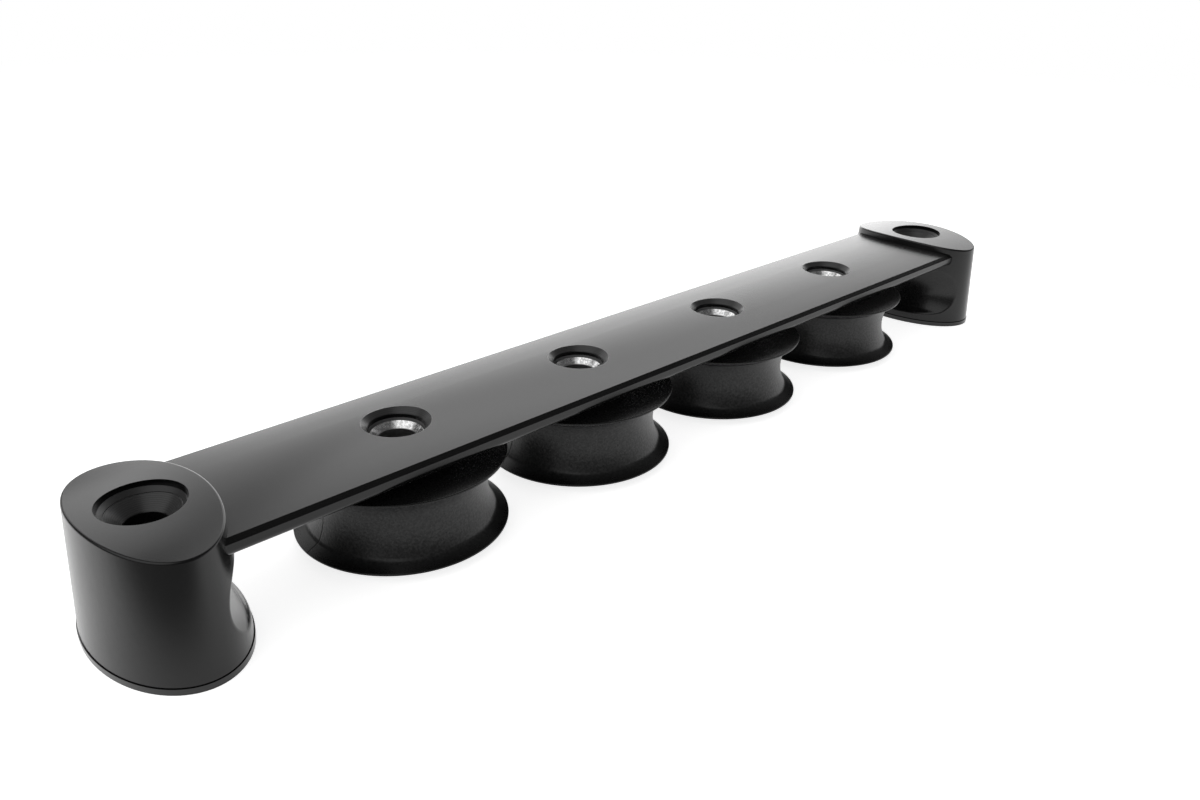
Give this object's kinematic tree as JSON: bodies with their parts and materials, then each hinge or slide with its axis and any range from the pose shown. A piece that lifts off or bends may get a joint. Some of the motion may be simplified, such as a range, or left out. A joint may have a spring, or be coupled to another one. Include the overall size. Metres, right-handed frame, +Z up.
{
  "type": "rope deck organizer",
  "caption": "Low deck fitting that turns ropes round a row of grooved sheaves under a long cambered plate, held at its ends by oval scooped caps.",
  "frame": {"origin": "on the deck, under the middle of the row of sheaves", "axes": "+X along the row of sheaves, +Y across it, +Z up from the deck"},
  "size_m": [0.3166, 0.0504, 0.0297],
  "materials": {
    "anodised_plate": "black hard anodised, satin",
    "anodised_cap": "black hard anodised, satin",
    "pad": "black nylon",
    "sheave_moulding": "black moulding with a fine spark-eroded grain",
    "sleeve": "natural acetal",
    "stainless": "turned stainless steel",
    "washer": "black acetal"
  },
  "bodies": {
    "frame": {"top_plate": "anodised_plate", "left_end_cap": "anodised_cap", "right_end_cap": "anodised_cap", "left_base_pad": "pad", "right_base_pad": "pad", "bush_1": "stainless", "lower_washer_1": "washer", "upper_washer_1": "washer", "bush_2": "stainless", "lower_washer_2": "washer", "upper_washer_2": "washer", "bush_3": "stainless", "lower_washer_3": "washer", "upper_washer_3": "washer", "bush_4": "stainless", "lower_washer_4": "washer", "upper_washer_4": "washer"},
    "turning_sheave_1": {"sheave_1": "sheave_moulding", "bearing_sleeve_1": "sleeve"},
    "turning_sheave_2": {"sheave_2": "sheave_moulding", "bearing_sleeve_2": "sleeve"},
    "turning_sheave_3": {"sheave_3": "sheave_moulding", "bearing_sleeve_3": "sleeve"},
    "turning_sheave_4": {"sheave_4": "sheave_moulding", "bearing_sleeve_4": "sleeve"}
  },
  "joints": [
    {"name": "sheave_1_spin", "type": "hinge", "parent": "frame", "child": "turning_sheave_1", "pos_m": [-0.0855, 0, 0.0114], "axis": [0, 0, 1], "continuous": true},
    {"name": "sheave_2_spin", "type": "hinge", "parent": "frame", "child": "turning_sheave_2", "pos_m": [-0.0285, 0, 0.0114], "axis": [0, 0, 1], "continuous": true},
    {"name": "sheave_3_spin", "type": "hinge", "parent": "frame", "child": "turning_sheave_3", "pos_m": [0.0285, 0, 0.0114], "axis": [0, 0, 1], "continuous": true},
    {"name": "sheave_4_spin", "type": "hinge", "parent": "frame", "child": "turning_sheave_4", "pos_m": [0.0855, 0, 0.0114], "axis": [0, 0, 1], "continuous": true}
  ]
}
